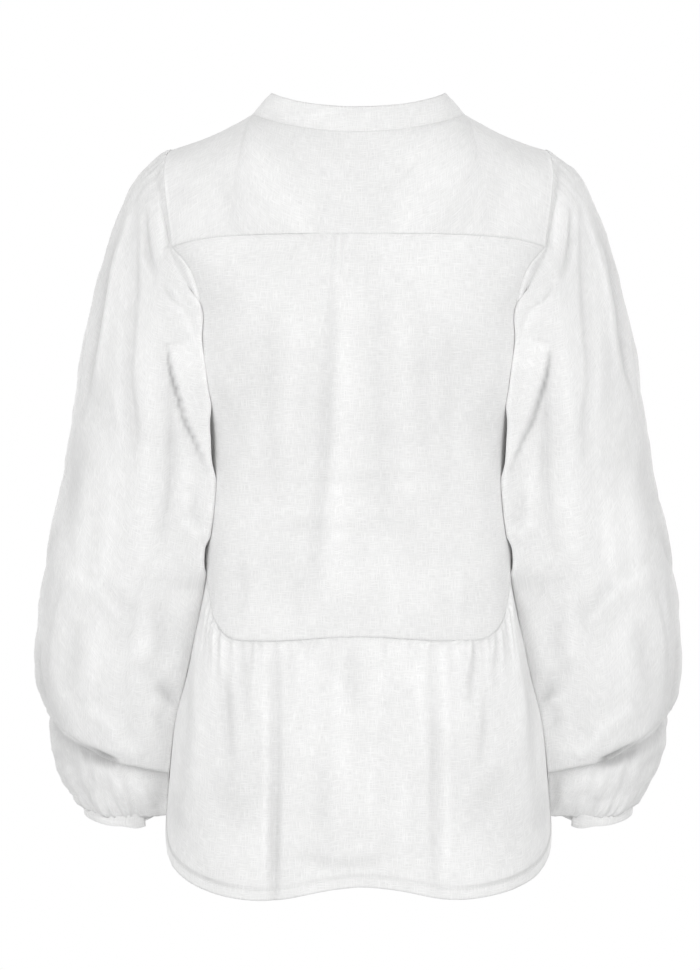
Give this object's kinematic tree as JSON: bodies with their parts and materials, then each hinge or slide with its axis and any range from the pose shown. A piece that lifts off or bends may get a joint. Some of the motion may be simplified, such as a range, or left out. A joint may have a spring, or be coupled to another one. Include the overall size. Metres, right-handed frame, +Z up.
{
  "type": "linen blouse",
  "caption": "Worn-form linen blouse: band collar with V neck, back yoke over centre gathers, balloon sleeves gathered into narrow cuffs, and a gathered peplum with a shirt-tail hem.",
  "frame": {"origin": "midway between the two points where the neck band meets the shoulder seams, where a wearer's shoulders hold the blouse", "axes": "+Z up, the front of the blouse faces -Y, its left sleeve is at +X"},
  "size_m": [0.6084, 0.2541, 0.738],
  "materials": {
    "linen": "plain-woven white linen, dull, slightly crumpled",
    "linen_double": "two layers of the same white linen, top-stitched"
  },
  "bodies": {
    "root": {"neck_band": "linen_double", "back_yoke": "linen", "back_bodice": "linen", "front_bodice": "linen", "sleeve_left": "linen", "sleeve_right": "linen", "cuff_left": "linen_double", "cuff_right": "linen_double", "peplum_back": "linen", "peplum_front": "linen"}
  },
  "joints": []
}
